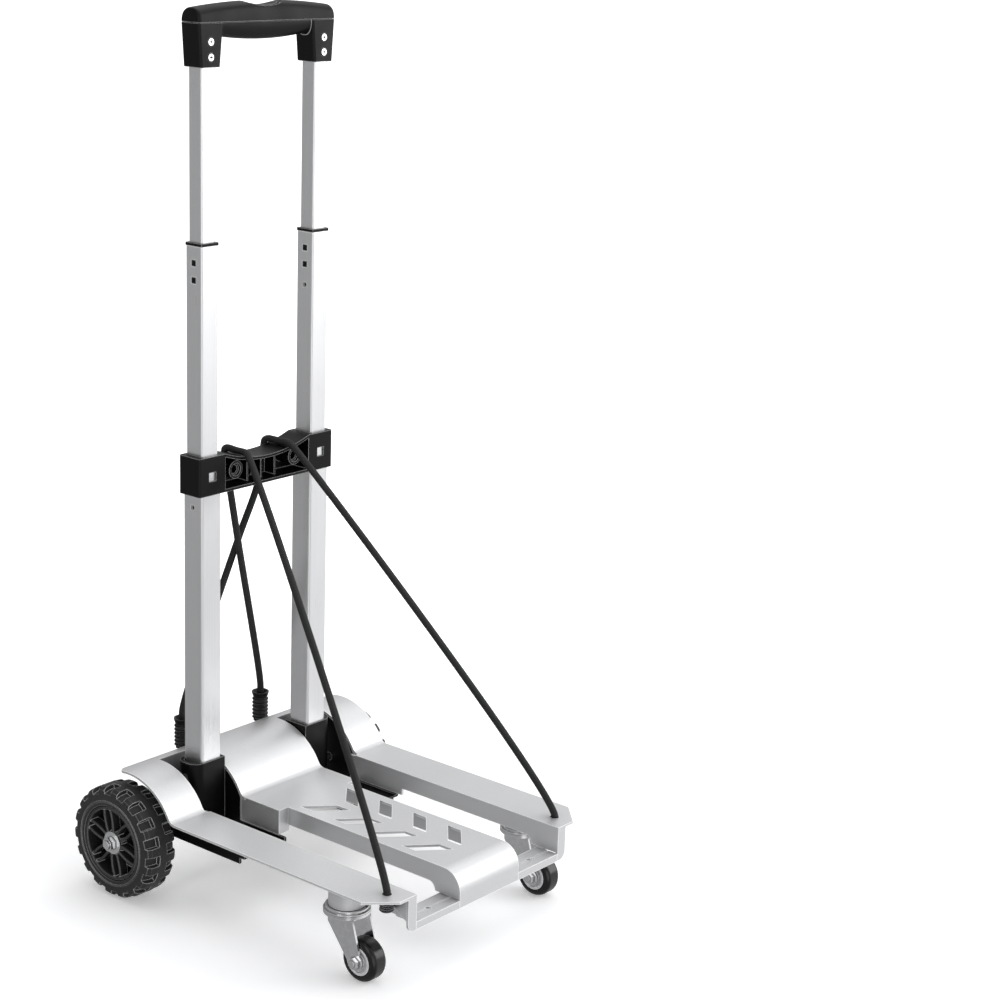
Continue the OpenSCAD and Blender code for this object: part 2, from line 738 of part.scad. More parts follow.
// Outline in (Y, Z) that rounds the handle's crown.
module handle_side() {
    crown = 8;
    translate([tower_y - handle_depth / 2, handle_base]) square([handle_depth, handle_top - handle_base - crown]);
    translate([tower_y - handle_depth / 2 + crown, handle_base])
        square([handle_depth - 2 * crown, handle_top - handle_base]);
    for (s = [-1, 1]) translate([tower_y + s * (handle_depth / 2 - crown), handle_top - crown]) circle(crown);
}

module handle_body(z0, z1) difference() {
    intersection() {
        along_y(tower_y - 20, tower_y + 20) handle_outline();
        along_x(-100, 100) handle_side();
        box(-100, 100, tower_y - 20, tower_y + 20, z0, z1);
    }
    box(-77, 77, tower_y - 5, tower_y + 5, bar_z - bar_h - 0.6, handle_split + 3);
    for (s = [-1, 1]) mirror([s < 0 ? 1 : 0, 0, 0]) {
        stack_prism(inner_size + 2 * running_gap, handle_base - 1, inner_top + 0.5);
        rod_z(inner_top, bar_z, tube_x, tower_y, 2.4);
        for (z = screw_z) {
            rod_y(tower_y - 13, tower_y - 10.4, tube_x, z, 3.3);
            rod_y(tower_y - 13, tower_y - 8, tube_x, z, 1.7);
        }
    }
    box(-20.5, 20.5, tower_y - 8, tower_y + 8, handle_split - 0.5, handle_top + 1);
}

module handle_shell_top() color(black) from_axle() handle_body(handle_split, handle_top + 1);
module handle_shell_bottom() color(black) from_axle() handle_body(handle_base, handle_split - 0.1);

module handle_screws() color(steel) both_sides() for (z = screw_z) difference() {
    union() {
        rod_y(tower_y - 12.2, tower_y - 10.5, tube_x, z, 3.1);
        rod_y(tower_y - 11, tower_y - 7.5, tube_x, z, 1.6);
    }
    box(tube_x - 0.55, tube_x + 0.55, tower_y - 13, tower_y - 10.9, z - 2.1, z + 2.1);
    box(tube_x - 2.1, tube_x + 2.1, tower_y - 13, tower_y - 10.9, z - 0.55, z + 0.55);
}

module release_button() color(black) from_axle() {
    box(-19.8, 19.8, tower_y - 7.3, tower_y + 7.3, handle_top - 8, handle_top - 2.6);
    box(-15, 15, tower_y - 4, tower_y + 4, bar_z + bar_h + 0.01, handle_top - 7);
}

module release_bar() color(black) from_axle() box(-75, 75, tower_y - 3.5, tower_y + 3.5, bar_z, bar_z + bar_h);

module release_rods() color(steel) both_sides()
    rod_z(inner_bottom + 44, bar_z - 0.01, tube_x, tower_y, 2);

// ---- drawing ----

outer_tube_left();
outer_tube_right();
socket_left();
socket_right();
latch_pins();
crossbar();
crossbar_panel();
cord_left();
cord_right();
deck_plate();
front_tie();
tie_rivets();
hinge_bracket_left();
hinge_bracket_right();
pivot_pins();
axle();
axle_spacers();
axle_washers();
axle_nuts();
caster_boss_left();
caster_boss_right();
kingpins();
cord_plugs();
cord_grip_left();
cord_grip_right();
cord_hooks();
tyre_left();
tyre_right();
rim_left();
rim_right();
caster_race_left();
caster_race_right();
caster_fork_left();
caster_fork_right();
caster_bolt_left();
caster_bolt_right();
caster_hub_left();
caster_hub_right();
caster_tyre_left();
caster_tyre_right();
mid_tube_left();
mid_tube_right();
mid_collar_left();
mid_collar_right();
mid_feet();
inner_tube_left();
inner_tube_right();
inner_feet();
handle_shell_top();
handle_shell_bottom();
handle_screws();
release_button();
release_bar();
release_rods();
inner_lock_left();
inner_lock_right();
mid_lock_left();
mid_lock_right();
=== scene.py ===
"""Looks for the folding luggage cart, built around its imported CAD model."""
import json
import math

import bmesh
import bpy
from mathutils import Matrix, Vector


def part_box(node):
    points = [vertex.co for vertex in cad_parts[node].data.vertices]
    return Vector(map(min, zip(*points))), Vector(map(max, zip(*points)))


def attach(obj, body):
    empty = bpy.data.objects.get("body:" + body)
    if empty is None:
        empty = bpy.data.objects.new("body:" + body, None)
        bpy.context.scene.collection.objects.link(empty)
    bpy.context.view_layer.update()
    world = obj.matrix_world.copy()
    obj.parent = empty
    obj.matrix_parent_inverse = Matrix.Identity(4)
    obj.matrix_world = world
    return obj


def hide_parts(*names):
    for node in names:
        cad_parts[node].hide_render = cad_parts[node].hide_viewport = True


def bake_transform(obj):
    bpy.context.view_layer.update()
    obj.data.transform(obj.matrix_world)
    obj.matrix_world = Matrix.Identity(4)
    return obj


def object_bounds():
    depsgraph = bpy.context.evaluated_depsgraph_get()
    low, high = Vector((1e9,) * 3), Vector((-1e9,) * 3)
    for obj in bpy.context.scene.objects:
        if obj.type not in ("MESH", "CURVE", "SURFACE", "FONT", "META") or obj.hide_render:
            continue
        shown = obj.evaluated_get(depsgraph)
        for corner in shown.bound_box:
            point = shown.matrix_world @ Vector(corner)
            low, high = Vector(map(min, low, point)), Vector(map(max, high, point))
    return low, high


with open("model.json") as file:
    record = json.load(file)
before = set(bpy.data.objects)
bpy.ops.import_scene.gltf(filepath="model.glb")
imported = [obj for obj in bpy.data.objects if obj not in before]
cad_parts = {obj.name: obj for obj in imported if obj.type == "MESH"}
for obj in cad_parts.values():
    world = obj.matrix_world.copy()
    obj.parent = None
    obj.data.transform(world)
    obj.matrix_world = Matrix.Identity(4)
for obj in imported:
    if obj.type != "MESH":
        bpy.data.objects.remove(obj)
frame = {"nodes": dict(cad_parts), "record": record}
cad_nodes = frame["nodes"]
cad_low, cad_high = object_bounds()
MM = 0.001


# ---------------------------------------------------------------- material helpers

class Graph:
    """A material's node graph, with short calls for the nodes used here."""

    def __init__(self, name):
        self.material = bpy.data.materials.new(name)
        self.material.use_nodes = True
        self.tree = self.material.node_tree
        self.bsdf = self.tree.nodes["Principled BSDF"]
        self.place = self.add("ShaderNodeTexCoord").outputs["Object"]

    def add(self, kind, **settings):
        node = self.tree.nodes.new(kind)
        for key, value in settings.items():
            setattr(node, key, value)
        return node

    def link(self, source, target):
        if isinstance(source, (int, float, tuple)):
            target.default_value = source
        else:
            self.tree.links.new(source, target)

    def set(self, **inputs):
        for key, value in inputs.items():
            self.link(value, self.bsdf.inputs[key.replace("_", " ")])

    def stretched(self, scale):
        node = self.add("ShaderNodeMapping")
        self.link(self.place, node.inputs["Vector"])
        node.inputs["Scale"].default_value = scale
        return node.outputs["Vector"]

    def noise(self, scale, detail=2.0, rough=0.5, vector=None):
        node = self.add("ShaderNodeTexNoise")
        self.link(vector or self.place, node.inputs["Vector"])
        node.inputs["Scale"].default_value = scale
        node.inputs["Detail"].default_value = detail
        node.inputs["Roughness"].default_value = rough
        return node.outputs["Fac"]

    def cells(self, scale):
        node = self.add("ShaderNodeTexVoronoi")
        self.link(self.place, node.inputs["Vector"])
        node.inputs["Scale"].default_value = scale
        return node

    def math(self, operation, a, b=0.0, c=0.0):
        node = self.add("ShaderNodeMath", operation=operation)
        for value, socket in zip((a, b, c), node.inputs):
            self.link(value, socket)
        return node.outputs[0]

    def spread(self, value, low, high, out_low, out_high):
        node = self.add("ShaderNodeMapRange")
        self.link(value, node.inputs["Value"])
        for key, number in zip(("From Min", "From Max", "To Min", "To Max"), (low, high, out_low, out_high)):
            node.inputs[key].default_value = number
        return node.outputs["Result"]

    def mix(self, factor, a, b):
        node = self.add("ShaderNodeMix", data_type="RGBA")
        self.link(factor, node.inputs[0])
        self.link(a, node.inputs[6])
        self.link(b, node.inputs[7])
        return node.outputs[2]

    def edges(self, radius):
        """1 on edges, where the rounded normal leaves the true one, and 0 on flats."""
        bevel = self.add("ShaderNodeBevel", samples=4)
        bevel.inputs["Radius"].default_value = radius
        dot = self.add("ShaderNodeVectorMath", operation="DOT_PRODUCT")
        self.link(bevel.outputs["Normal"], dot.inputs[0])
        self.link(self.add("ShaderNodeNewGeometry").outputs["Normal"], dot.inputs[1])
        return self.spread(dot.outputs["Value"], 0.996, 0.90, 0.0, 1.0)

    def painted_shade_mask(self, reach):
        """Mask for painted shade: 1 in the open and 0 deep in holes and corners, within the given reach."""
        node = self.add("ShaderNodeAmbientOcclusion", samples=4)
        node.inputs["Distance"].default_value = reach
        return node.outputs["AO"]

    def glow(self, factor, strength):
        """Painted highlight: makes the masked edges glow, standing in for the light a polished edge picks up
        from every side.
        """
        self.bsdf.inputs["Emission Color"].default_value = (1, 1, 1, 1)
        self.link(self.math("MULTIPLY", factor, strength), self.bsdf.inputs["Emission Strength"])

    def bump(self, height, strength, distance):
        node = self.add("ShaderNodeBump")
        self.link(height, node.inputs["Height"])
        node.inputs["Strength"].default_value = strength
        node.inputs["Distance"].default_value = distance
        self.link(node.outputs["Normal"], self.bsdf.inputs["Normal"])


def grey(value):
    """A faintly cool neutral colour."""
    return (value, value * 1.004, value * 1.012, 1.0)


# ---------------------------------------------------------------- materials

def deck_coat():
    """Fine silver powder coat: sparkling grains and slight orange peel, with painted highlights on the edges
    and painted shade in corners.
    """
    g = Graph("deck_coat")
    grain = g.noise(2600, 3, 0.6)
    flakes = g.cells(3200)
    flake = g.spread(flakes.outputs["Color"], 0.2, 0.95, 0.0, 1.0)
    patch = g.noise(14, 3)
    tone = g.mix(g.spread(grain, 0.3, 0.7, 0.0, 1.0), grey(0.63), grey(0.75))
    tone = g.mix(g.math("MULTIPLY", flake, 0.22), tone, grey(0.97))
    # Painted highlight: edges are mixed towards near white here and glow further down.
    edge = g.edges(0.0014)
    tone = g.mix(g.math("MULTIPLY", edge, 0.8), tone, grey(0.97))
    rough = g.math("ADD", g.spread(patch, 0.3, 0.7, 0.39, 0.47), g.math("MULTIPLY", grain, 0.08))
    # Painted shade: corners and recesses are darkened towards grey.
    tone = g.mix(g.spread(g.painted_shade_mask(0.012), 0.1, 0.9, 0.0, 1.0), grey(0.30), tone)
    g.set(Base_Color=tone, Metallic=0.78, Roughness=rough)
    g.glow(edge, 0.25)
    g.bump(g.math("ADD", grain, g.math("MULTIPLY", g.noise(420, 2), 0.6)), 0.22, 0.0002)
    return g.material


def tube_anodised():
    """Satin anodised extrusion: faint drawn lines along the tube, with painted highlights on the corners."""
    g = Graph("tube_anodised")
    lines = g.noise(1, 4, 0.65, g.stretched((1500, 1500, 9)))
    cloud = g.noise(22, 2)
    tone = g.mix(g.spread(lines, 0.3, 0.7, 0.0, 1.0), grey(0.79), grey(0.84))
    # Painted highlight: corners are mixed towards near white and glow.
    edge = g.edges(0.0012)
    tone = g.mix(g.math("MULTIPLY", edge, 0.7), tone, grey(0.98))
    rough = g.math("ADD", g.spread(lines, 0.3, 0.7, 0.26, 0.31), g.spread(cloud, 0.3, 0.7, 0.0, 0.04))
    g.set(Base_Color=tone, Metallic=0.92, Roughness=rough)
    g.glow(edge, 0.30)
    g.bump(lines, 0.02, 0.0002)
    return g.material


def moulded(name, tone, rough, grain, depth, edge_highlight_tone, shine=0.16):
    """Moulded black plastic with a spark-eroded grain and uneven sheen, with a painted highlight on the
    edges.
    """
    g = Graph(name)
    fine = g.noise(grain, 3, 0.6)
    cloud = g.noise(45, 3)
    colour = g.mix(g.spread(fine, 0.3, 0.7, 0.0, 1.0), grey(tone * 0.85), grey(tone * 1.2))
    # Painted highlight: edges are mixed towards a lighter tone and glow.
    edge = g.edges(0.0009)
    colour = g.mix(g.math("MULTIPLY", edge, 0.7), colour, grey(edge_highlight_tone))
    sheen = g.spread(cloud, 0.3, 0.7, rough - 0.05, rough + 0.06)
    sheen = g.math("ADD", sheen, g.math("MULTIPLY", fine, 0.06))
    g.set(Base_Color=colour, Roughness=sheen)
    g.bsdf.inputs["Specular IOR Level"].default_value = shine
    g.glow(edge, edge_highlight_tone * 0.45)
    g.bump(fine, depth, 0.0002)
    return g.material


def zinc_plate():
    """Bright zinc or chrome plate on pressed steel, with soft ripples and faint stains, painted highlights
    on the edges and painted shade in recesses.
    """
    g = Graph("zinc_plate")
    stain = g.noise(160, 4, 0.6)
    ripple = g.noise(60, 2)
    tone = g.mix(g.spread(stain, 0.35, 0.7, 0.0, 1.0), grey(0.90), grey(0.80))
    # Painted highlight: edges are mixed towards near white and glow.
    edge = g.edges(0.0007)
    tone = g.mix(g.math("MULTIPLY", edge, 0.6), tone, grey(0.98))
    g.glow(edge, 0.12)
    # Painted shade: holes and corners are darkened to near black.
    tone = g.mix(g.spread(g.painted_shade_mask(0.002), 0.35, 0.9, 0.0, 1.0), grey(0.01), tone)
    rough = g.spread(stain, 0.3, 0.7, 0.12, 0.20)
    g.set(Base_Color=tone, Metallic=1.0, Roughness=rough)
    g.bump(g.math("ADD", ripple, g.math("MULTIPLY", stain, 0.1)), 0.06, 0.0004)
    return g.material


def braid():
    """Braided elastic sleeve: two sets of crossing yarns in the piece's own (around, along) map."""
    g = Graph("braid")
    uv = g.add("ShaderNodeSeparateXYZ")
    g.link(g.add("ShaderNodeTexCoord").outputs["UV"], uv.inputs[0])
    around = g.math("MULTIPLY", uv.outputs["X"], 8.0)
    along = g.math("MULTIPLY", uv.outputs["Y"], 620.0)
    left = g.math("SINE", g.math("MULTIPLY", g.math("ADD", along, around), 2 * math.pi))
    right = g.math("SINE", g.math("MULTIPLY", g.math("SUBTRACT", along, around), 2 * math.pi))
    weave = g.math("MAXIMUM", left, right)
    height = g.spread(weave, -1.0, 1.0, 0.0, 1.0)
    fuzz = g.noise(2500, 2)
    tone = g.mix(height, grey(0.002), grey(0.018))
    tone = g.mix(g.math("MULTIPLY", fuzz, 0.10), tone, grey(0.05))
    g.set(Base_Color=tone, Roughness=0.55)
    g.bsdf.inputs["Specular IOR Level"].default_value = 0.3
    g.bump(height, 0.7, 0.0006)
    return g.material


LOOKS = {
    "deck_silver": deck_coat(),
    "tube_silver": tube_anodised(),
    "black_plastic": moulded("black_plastic", 0.003, 0.34, 2400, 0.14, 0.30),
    "wheel_plastic": moulded("wheel_plastic", 0.022, 0.38, 1500, 0.18, 0.34),
    "wheel_tyre": moulded("wheel_tyre", 0.026, 0.44, 1100, 0.30, 0.48),
    "caster_tyre": moulded("caster_tyre", 0.004, 0.20, 500, 0.03, 0.03, 0.5),
    "caster_hub": moulded("caster_hub", 0.50, 0.30, 900, 0.05, 0.9, 0.5),
    "zinc_steel": zinc_plate(),
    "cord_elastic": braid(),
}
SLOT_OF = {part["node"]: part["material_slot"] for part in frame["record"]["subparts"]}


def paint(obj, slot):
    """Gives a piece the look of one of the record's material slots."""
    obj.data.materials.clear()
    obj.data.materials.append(LOOKS[slot])


def soften(obj, width, segments=3):
    """Rounds a CAD node's sharp edges, as pressing, moulding and tumbling leave them."""
    weld = obj.modifiers.new("weld", "WELD")
    weld.merge_threshold = 1e-6
    flat = obj.modifiers.new("flat", "DECIMATE")
    flat.decimate_type = "DISSOLVE"
    flat.angle_limit = math.radians(0.8)
    flat.delimit = {"MATERIAL"}
    bevel = obj.modifiers.new("bevel", "BEVEL")
    bevel.width = width
    bevel.segments = segments
    bevel.limit_method = "ANGLE"
    bevel.angle_limit = math.radians(32)
    normals = obj.modifiers.new("normals", "WEIGHTED_NORMAL")
    normals.keep_sharp = False


EDGE = {
    "deck_silver": 0.5 * MM,
    "tube_silver": 0.15 * MM,
    "black_plastic": 0.7 * MM,
    "wheel_plastic": 0.4 * MM,
    "wheel_tyre": 0.7 * MM,
    "caster_tyre": 0.3 * MM,
    "caster_hub": 0.3 * MM,
    "zinc_steel": 0.25 * MM,
}
for name, node in cad_nodes.items():
    slot = SLOT_OF[name]
    for polygon in node.data.polygons:
        polygon.use_smooth = True
    if slot in EDGE:
        soften(node, EDGE[slot])
    node.data.materials.clear()
    node.data.materials.append(LOOKS[slot])


SCREW_HEAD_R = 3.1 * MM


def paint_recess_shade():
    """Paints the driver recesses of the handle's screws near black, as painted shade in the recesses."""
    low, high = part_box("handle_screws")
    mesh = cad_nodes["handle_screws"].data
    mesh.materials.append(moulded("screw_recess_shade", 0.003, 0.5, 1500, 0.1, 0.003))
    for polygon in mesh.polygons:
        x, y, z = polygon.center
        off_centre = min(abs(z - low.z - SCREW_HEAD_R), abs(z - high.z + SCREW_HEAD_R))
        from_axis = math.hypot(abs(x) - high.x + SCREW_HEAD_R, off_centre)
        # Painted shade: these recess faces get the near-black second material.
        if 0.2 * MM < y - low.y < 1.6 * MM and from_axis < 2.4 * MM:
            polygon.material_index = 1


paint_recess_shade()


# ---------------------------------------------------------------- mesh helpers

def new_piece(name, vertices, faces):
    """A smooth-shaded mesh object made from points and faces."""
    mesh = bpy.data.meshes.new(name)
    mesh.from_pydata([tuple(v) for v in vertices], [], faces)
    mesh.validate()
    mesh.update()
    for polygon in mesh.polygons:
        polygon.use_smooth = True
    obj = bpy.data.objects.new(name, mesh)
    bpy.context.scene.collection.objects.link(obj)
    return obj


def loft(name, rings, along=False):
    """A closed skin over rings of points, with capped ends, or joined end to end if along is set."""
    size = len(rings[0])
    vertices = [point for ring in rings for point in ring]
    faces = []
    for i in range(len(rings) if along else len(rings) - 1):
        j = (i + 1) % len(rings)
        for k in range(size):
            m = (k + 1) % size
            faces.append((i * size + k, i * size + m, j * size + m, j * size + k))
    if not along:
        faces.append(tuple(reversed(range(size))))
        faces.append(tuple(range((len(rings) - 1) * size, len(rings) * size)))
    return new_piece(name, vertices, faces)


def turned(name, profile, centre, axis="x", steps=96):
    """A closed (radius, along) outline turned about an axis through the centre."""
    rings = []
    for i in range(steps):
        a = 2 * math.pi * i / steps
        ring = []
        for r, t in profile:
            u, v = r * math.cos(a), r * math.sin(a)
            offset = Vector((t, u, v)) if axis == "x" else Vector((u, v, t))
            ring.append(centre + offset)
        rings.append(ring)
    return loft(name, rings, along=True)


def join(name, parts):
    """Several meshes as one piece."""
    vertices, faces = [], []
    for part in parts:
        start = len(vertices)
        vertices += [v.co.copy() for v in part.data.vertices]
        faces += [tuple(start + i for i in p.vertices) for p in part.data.polygons]
        bpy.data.objects.remove(part)
    return new_piece(name, vertices, faces)


def outward(obj):
    """Turns every face of a piece outwards."""
    work = bmesh.new()
    work.from_mesh(obj.data)
    bmesh.ops.recalc_face_normals(work, faces=work.faces)
    work.to_mesh(obj.data)
    work.free()
    return obj


def carve(obj, cutter):
    """Cuts one closed piece out of another, in the mesh itself."""
    outward(obj)
    outward(cutter)
    cut = obj.modifiers.new("cut", "BOOLEAN")
    cut.operation = "DIFFERENCE"
    cut.solver = "EXACT"
    cut.object = cutter
    bpy.context.view_layer.update()
    done = bpy.data.meshes.new_from_object(obj.evaluated_get(bpy.context.evaluated_depsgraph_get()))
    obj.modifiers.clear()
    obj.data = done
    bpy.data.objects.remove(cutter)
    for polygon in obj.data.polygons:
        polygon.use_smooth = True


def bevelled(obj, width, segments=3, angle=32):
    """Rounds the edges of a piece that are sharper than the angle."""
    outward(obj)
    bevel = obj.modifiers.new("bevel", "BEVEL")
    bevel.width = width
    bevel.segments = segments
    bevel.limit_method = "ANGLE"
    bevel.angle_limit = math.radians(angle)
    obj.modifiers.new("normals", "WEIGHTED_NORMAL").keep_sharp = False


def rounded_rectangle(x0, x1, y0, y1, radius, z, steps=5):
    """A ring of points round a rectangle with rounded corners, at height z."""
    corners = ((x1 - radius, y1 - radius, 0), (x0 + radius, y1 - radius, 90),
               (x0 + radius, y0 + radius, 180), (x1 - radius, y0 + radius, 270))
    ring = []
    for cx, cy, start in corners:
        for i in range(steps + 1):
            a = math.radians(start + 90 * i / steps)
            ring.append(Vector((cx + radius * math.cos(a), cy + radius * math.sin(a), z)))
    return ring


# ---------------------------------------------------------------- handle

CROWN_GAP = 1.2 * MM
DISH_R = 76 * MM
DISH_DEPTH = 4.6 * MM


def dish_height(x):
    """Height of the recess in the middle of the handle's crown."""
    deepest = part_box("handle_shell_top")[1].z - CROWN_GAP - DISH_DEPTH
    return deepest + DISH_R - math.sqrt(DISH_R ** 2 - x * x)


def handle_cap():
    """The crowned upper shell with D-shaped ends and a dished recess for the button."""
    low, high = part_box("handle_shell_top")
    middle_y = (low.y + high.y) / 2
    half_y = (high.y - low.y) / 2
    half_x = high.x
    end_r = 3.2 * MM
    rings = []
    for i in range(121):
        x = half_x * (2 * i / 120 - 1)
        if abs(x) > half_x - end_r * 2:
            x += math.copysign(0.35 * MM, x) * (1 - abs(abs(x) - half_x + end_r) / end_r)
        x = max(-half_x, min(half_x, x))
        past = max(0.0, abs(x) - (half_x - end_r))
        inset = end_r - math.sqrt(max(0.0, end_r ** 2 - past ** 2))
        crest = high.z - low.z - CROWN_GAP - 5.3 * MM * (x / (86 * MM)) ** 2
        ring = []
        for k in range(37):
            a = math.pi * k / 36
            y = math.copysign(abs(math.cos(a)) ** 0.80, math.cos(a)) * (half_y - inset * 0.8)
            z = low.z + 0.25 * MM + abs(math.sin(a)) ** 0.83 * (crest - inset)
            ring.append(Vector((x, middle_y + y, z)))
        rings.append(ring)
    cap = loft("handle_cap", rings)
    blade = []
    for y in (low.y - 5 * MM, high.y + 5 * MM):
        blade.append([Vector((x * MM, y, dish_height(x * MM))) for x in range(-32, 33)]
                     + [Vector((32 * MM, y, high.z + 20 * MM)), Vector((-32 * MM, y, high.z + 20 * MM))])
    carve(cap, loft("dish", blade))
    well = [rounded_rectangle(-19.6 * MM, 19.6 * MM, middle_y - 7.3 * MM, middle_y + 7.3 * MM, 4.5 * MM, z)
            for z in (high.z - 11 * MM, high.z + 10 * MM)]
    carve(cap, loft("well", well))
    bevelled(cap, 0.45 * MM, 3, 40)
    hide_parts("handle_shell_top")
    paint(cap, "black_plastic")
    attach(cap, "handle")


def handle_legs():
    """The lower shell: two tapered legs and the rounded underside of the grip between them."""
    low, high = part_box("handle_shell_bottom")
    middle_y = (low.y + high.y) / 2
    screw_low, screw_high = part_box("handle_screws")
    bore_r = 3.7 * MM
    parts = []
    for side in (-1, 1):
        rings = []
        for i in range(9):
            t = i / 8
            inner = (59.3 - 3.4 * t) * MM
            outer = (83.4 + 2.7 * t) * MM
            half_y = (11.8 + 0.2 * t) * MM
            x0, x1 = (inner, outer) if side > 0 else (-outer, -inner)
            z = low.z + (high.z - low.z) * t
            rings.append(rounded_rectangle(x0, x1, middle_y - half_y, middle_y + half_y, 2.6 * MM, z))
        leg = loft("leg", rings)
        x = side * (screw_high.x - SCREW_HEAD_R)
        for z in (screw_low.z + SCREW_HEAD_R, screw_high.z - SCREW_HEAD_R):
            carve(leg, loft("bore", [
                [Vector((x + bore_r * math.cos(a), y, z + bore_r * math.sin(a)))
                 for a in (2 * math.pi * k / 32 for k in range(32))]
                for y in (low.y - 3 * MM, low.y + 1.4 * MM)
            ]))
        parts.append(leg)
    rings = []
    for i in range(61):
        x = (-62 + 124 * i / 60) * MM
        depth = 16.3 * MM - 4.2 * MM * (x / (58 * MM)) ** 2
        depth += 5.0 * MM * max(0.0, (abs(x) - 52 * MM) / (8 * MM)) ** 2
        ring = []
        for k in range(25):
            a = math.pi * k / 24
            y = math.copysign(abs(math.cos(a)) ** 0.8, math.cos(a)) * 10.2 * MM
            ring.append(Vector((x, middle_y + y, high.z - 0.1 * MM - math.sin(a) ** 0.9 * depth)))
        rings.append(ring)
    parts.append(loft("bar", rings))
    legs = join("handle_legs", parts)
    bevelled(legs, 0.5 * MM, 3, 40)
    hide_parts("handle_shell_bottom")
    paint(legs, "black_plastic")
    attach(legs, "handle")


def button():
    """The dished release button that sits in the cap's recess."""
    low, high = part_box("release_button")
    middle_y = (low.y + high.y) / 2
    rings = []
    for i in range(41):
        x = (-18.9 + 37.8 * i / 40) * MM
        wide = 6.7 * MM * math.sqrt(max(0.03, 1 - (abs(x) / (19.2 * MM)) ** 6))
        top = dish_height(x) + 0.6 * MM
        ring = []
        for k in range(13):
            dip = 0.3 * MM * (1 - (k / 6 - 1) ** 2)
            ring.append(Vector((x, middle_y - wide + 2 * wide * k / 12, top - dip)))
        ring += [Vector((x, middle_y + wide, top - 5 * MM)), Vector((x, middle_y - wide, top - 5 * MM))]
        rings.append(ring)
    piece = loft("button_cap", rings)
    bevelled(piece, 0.5 * MM, 3, 40)
    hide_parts("release_button")
    paint(piece, "black_plastic")
    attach(piece, "release")


# ---------------------------------------------------------------- rear wheels

TREAD_BLOCKS = 18
# Outlines as (radius, distance in from the wheel's side), in millimetres.
SIDEWALL = (
    (36.3, 2.5), (37.2, 0.5), (38.5, 0.0), (40.4, 0.0),
    (40.8, 0.6), (41.7, 0.6), (42.1, 0.0), (46.5, 0.0),
)
LUG = ((52.0, 1.2), (54.4, 4.6), (55.0, 9.0), (55.0, 13.0), (55.0, 13.6))
POCKET = ((48.6, 0.8), (50.2, 4.6), (50.8, 9.0), (50.8, 13.0), (55.0, 13.6))
# The same for the wheel body, with the distances in from the inner side as negative numbers.
BARREL = ((33.0, -2.5), (36.2, -2.5), (36.2, 1.3), (35.6, 0.7), (33.6, 0.7), (33.0, 1.5))
WEB = ((10.0, -6.5), (34.0, -6.5), (34.0, -9.0), (10.0, -9.0))
HUB = ((4.4, -0.5), (11.0, -0.5), (11.8, 6.5), (11.2, 4.5), (9.6, 4.0), (4.4, 4.0))
SPOKE_PAIRS = 6
# A spoke's centre line as (distance from the axle, distance from the pair's middle).
SPOKE_BOW = ((10.5, 3.4), (14, 4.2), (18, 4.7), (22, 5.0), (26, 5.0), (30, 4.6), (34.5, 3.8))
# A spoke's section as (share of its half thickness, distance in from the wheel's side).
SPOKE = ((-1, 11.0), (1, 11.0), (1, 2.7), (0.55, 2.0), (-0.55, 2.0), (-1, 2.7))


def tyre(side, name):
    """The tread: shoulder blocks staggered half a pitch on either side of a central rib."""
    low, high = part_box("tyre_" + name)
    centre = (low + high) / 2
    half = (high.x - low.x) / 2 / MM
    rings = []
    for pitch in range(TREAD_BLOCKS):
        for f in (0.0, 0.04, 0.15, 0.28, 0.40, 0.5, 0.54, 0.65, 0.78, 0.90):
            a = 2 * math.pi * (pitch + f) / TREAD_BLOCKS
            near = SIDEWALL + (POCKET if 0.04 <= f <= 0.5 else LUG)
            far = SIDEWALL + (LUG if 0.04 <= f <= 0.5 else POCKET)
            outline = [(r, half - w) for r, w in near] + [(r, w - half) for r, w in reversed(far)]
            rings.append([
                centre + Vector((side * t * MM, r * MM * math.cos(a), r * MM * math.sin(a)))
                for r, t in outline
            ])
    piece = loft("tread_" + name, rings, along=True)
    bevelled(piece, 0.55 * MM, 2, 24)
    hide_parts("tyre_" + name)
    paint(piece, "wheel_tyre")
    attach(piece, "wheel_" + name)


def rim(side, name):
    """The wheel body: barrel with a lipped face, deep web, hub and six pairs of bowed spokes."""
    low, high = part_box("tyre_" + name)
    centre = (low + high) / 2
    half = (high.x - low.x) / 2 / MM

    def ring(outline, steps=96):
        profile = []
        for r, w in outline:
            t = half - w if w >= 0 else -half - w
            profile.append((r * MM, side * t * MM))
        return turned("part", profile, centre, "x", steps)

    parts = [ring(BARREL), ring(WEB), ring(HUB, 64)]
    for pair in range(SPOKE_PAIRS):
        a = math.radians(360 / SPOKE_PAIRS * pair + 18)
        out, across = Vector((0, math.cos(a), math.sin(a))), Vector((0, -math.sin(a), math.cos(a)))
        for hand in (-1, 1):
            sections = []
            for r, offset in SPOKE_BOW:
                spot = centre + out * r * MM + across * hand * offset * MM
                thick = (1.2 + 0.25 * abs(r - 22) / 12) * MM
                sections.append([
                    spot + across * thick * u + Vector((side * (half - w) * MM, 0, 0)) for u, w in SPOKE
                ])
            parts.append(loft("spoke", sections))
    piece = join("wheel_body_" + name, parts)
    bevelled(piece, 0.3 * MM, 2, 30)
    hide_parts("rim_" + name)
    paint(piece, "wheel_plastic")
    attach(piece, "wheel_" + name)


# ---------------------------------------------------------------- cords

